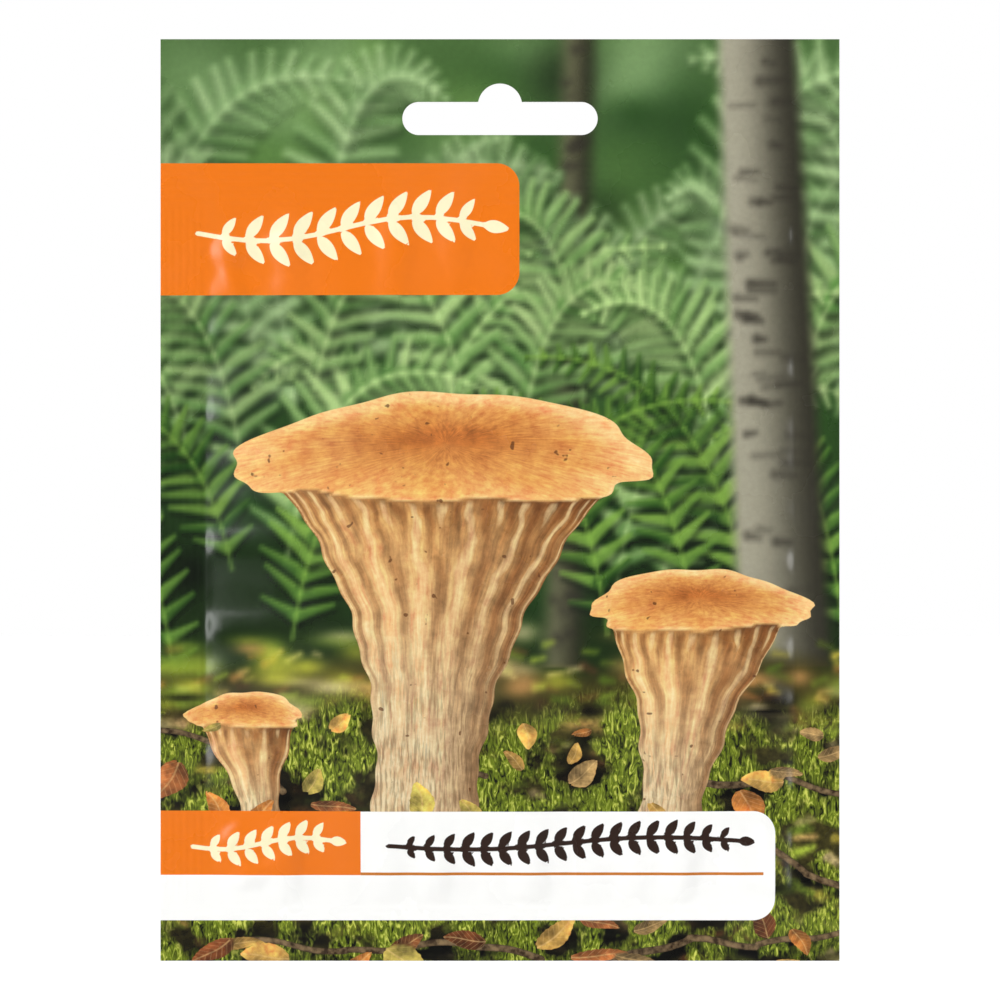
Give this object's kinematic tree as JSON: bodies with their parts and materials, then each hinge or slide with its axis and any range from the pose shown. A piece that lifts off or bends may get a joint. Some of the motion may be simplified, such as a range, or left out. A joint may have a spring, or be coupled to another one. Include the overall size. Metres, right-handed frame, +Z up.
{
  "type": "hanging mushroom spawn packet",
  "caption": "Flat four-side sealed packet of mushroom spawn with a hang slot in its header and a printed woodland front.",
  "frame": {"origin": "top of the hang slot's hump, where a display hook's wire bears, midway between the two films", "axes": "+Z up, towards the header's top edge; +X to the right seen from the front; the printed front faces -Y"},
  "size_m": [0.1106, 0.008, 0.15],
  "materials": {
    "printed_film": "satin laminate printed in colour",
    "plain_film": "satin laminate in pale cream",
    "spawn_grains": "dry grains under white mycelium"
  },
  "bodies": {
    "root": {"front_film": "printed_film", "back_film": "plain_film", "spawn": "spawn_grains"}
  },
  "joints": []
}
